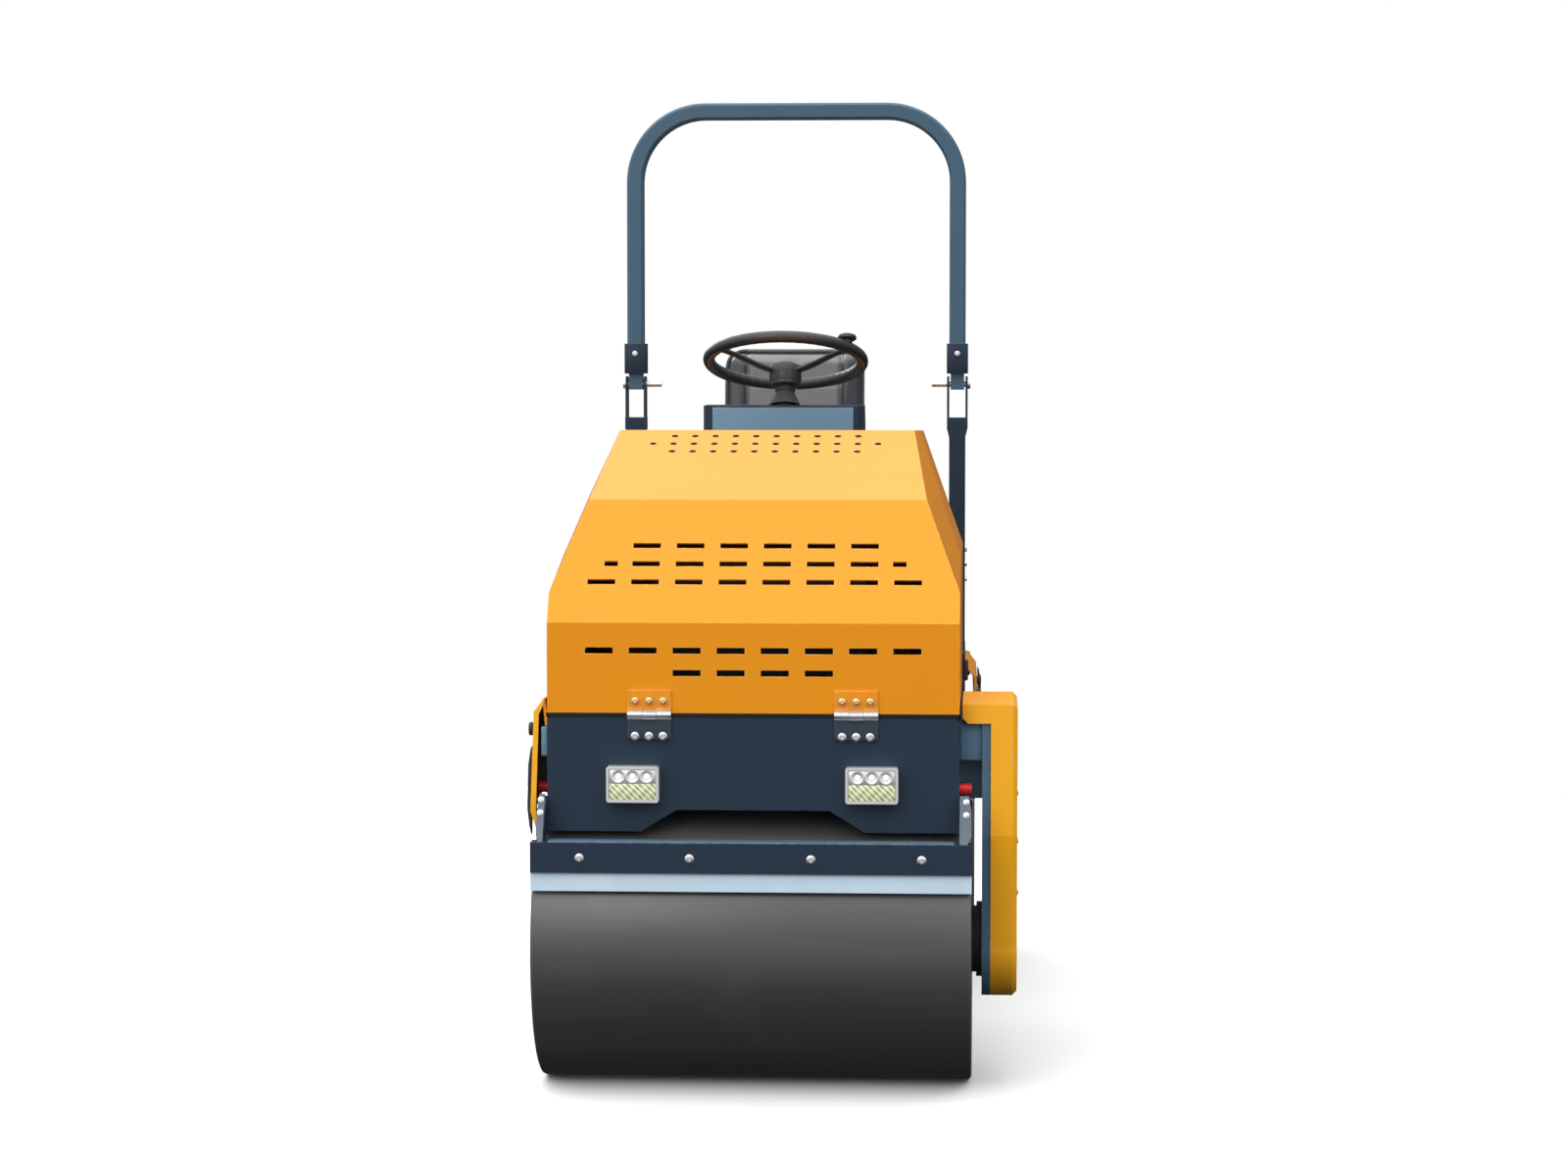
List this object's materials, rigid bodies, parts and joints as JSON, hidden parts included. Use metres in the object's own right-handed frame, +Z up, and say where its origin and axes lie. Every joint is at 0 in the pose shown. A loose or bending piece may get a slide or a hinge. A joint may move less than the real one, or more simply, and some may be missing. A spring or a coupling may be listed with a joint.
{
  "type": "ride-on tandem road roller",
  "caption": "Compact ride-on articulated tandem road roller with yellow engine hood, single-sided drum arms, operator's place and folding roll-over hoop.",
  "frame": {"origin": "on the ground, midway between the drum axles and at the middle of the width", "axes": "+Z up; the machine faces -Y; +X towards the side that carries the front drum's arm"},
  "size_m": [0.966, 1.96, 1.907],
  "materials": {
    "body_yellow": "satin powder-coated yellow",
    "frame_slate": "satin slate-blue paint",
    "drum_steel": "machined steel with dark satin paint",
    "bright_steel": "zinc-plated",
    "machinery_grey": "satin grey paint",
    "blade_plastic": "matt pale blue",
    "pin_red": "gloss red paint",
    "rubber_black": "matt",
    "seat_vinyl": "grained vinyl",
    "lamp_body": "satin"
  },
  "bodies": {
    "rear_frame": {"rear_chassis": "frame_slate", "swivel_bearing": "frame_slate", "deck": "frame_slate", "console": "frame_slate", "steering_column": "rubber_black", "seat_housing": "body_yellow", "seat_base": "machinery_grey", "seat_cushion": "seat_vinyl", "seat_back": "seat_vinyl", "drive_lever": "rubber_black", "tank_cap": "rubber_black", "hoop_posts": "frame_slate", "hoop_pins": "bright_steel", "tow_lug": "frame_slate", "rear_motor": "machinery_grey", "rear_arm": "frame_slate", "rear_arm_cover": "body_yellow", "rear_face_plate": "frame_slate", "rear_lamps": "lamp_body", "rear_tie_pins": "pin_red", "rear_side_cover": "body_yellow", "rear_scraper_blade": "blade_plastic", "rear_scraper_beam": "frame_slate"},
    "rear_roller": {"rear_drum": "drum_steel"},
    "centre_knuckle": {"knuckle": "machinery_grey"},
    "front_frame": {"front_chassis": "frame_slate", "plate_hinges": "bright_steel", "engine": "machinery_grey", "front_yoke": "frame_slate", "front_motor": "machinery_grey", "front_arm": "frame_slate", "front_arm_cover": "body_yellow", "front_face_plate": "frame_slate", "front_lamps": "lamp_body", "front_tie_pins": "pin_red", "front_side_cover": "body_yellow", "front_scraper_blade": "blade_plastic", "front_scraper_beam": "frame_slate"},
    "front_roller": {"front_drum": "drum_steel"},
    "engine_hood": {"hood": "body_yellow", "hood_hinges": "bright_steel"},
    "barrel": {"cylinder_barrel": "machinery_grey"},
    "rod": {"cylinder_rod": "bright_steel"},
    "rollover_hoop": {"hoop": "frame_slate"},
    "wheel": {"steering_wheel": "rubber_black"}
  },
  "joints": [
    {"name": "swivel", "type": "hinge", "parent": "rear_frame", "child": "centre_knuckle", "pos_m": [0, 0.3, 0.38], "axis": [0, 1, 0], "range_deg": [-8, 8]},
    {"name": "steering", "type": "hinge", "parent": "centre_knuckle", "child": "front_frame", "pos_m": [0, 0, 0.38], "axis": [0, 0, 1], "range_deg": [-30, 30]},
    {"name": "front_roll", "type": "hinge", "parent": "front_frame", "child": "front_roller", "pos_m": [0, -0.72, 0.26], "axis": [1, 0, 0], "continuous": true},
    {"name": "rear_roll", "type": "hinge", "parent": "rear_frame", "child": "rear_roller", "pos_m": [0, 0.72, 0.26], "axis": [1, 0, 0], "continuous": true},
    {"name": "hood_lift", "type": "hinge", "parent": "front_frame", "child": "engine_hood", "pos_m": [0, -0.897, 0.694], "axis": [1, 0, 0], "range_deg": [0, 60]},
    {"name": "hoop_fold", "type": "hinge", "parent": "rear_frame", "child": "rollover_hoop", "pos_m": [0, 0.666, 1.284], "axis": [1, 0, 0], "range_deg": [-90, 0]},
    {"name": "wheel_turn", "type": "hinge", "parent": "rear_frame", "child": "wheel", "pos_m": [0, 0.219, 1.337], "axis": [0, 0.309, 0.9511], "continuous": true},
    {"name": "barrel_swing", "type": "hinge", "parent": "front_frame", "child": "barrel", "pos_m": [0.12, -0.38, 0.38], "axis": [0, 0, 1], "range_deg": [-4, 4]},
    {"name": "rod_slide", "type": "slide", "parent": "barrel", "child": "rod", "axis": [-0.0916, 0.9958, 0], "range_m": [-0.046, 0.046]}
  ],
  "couplings": [
    {"joint": "barrel_swing", "follows": "steering", "ratio": -0.1038},
    {"joint": "rod_slide", "follows": "steering", "m_per_rad": -0.0829}
  ]
}
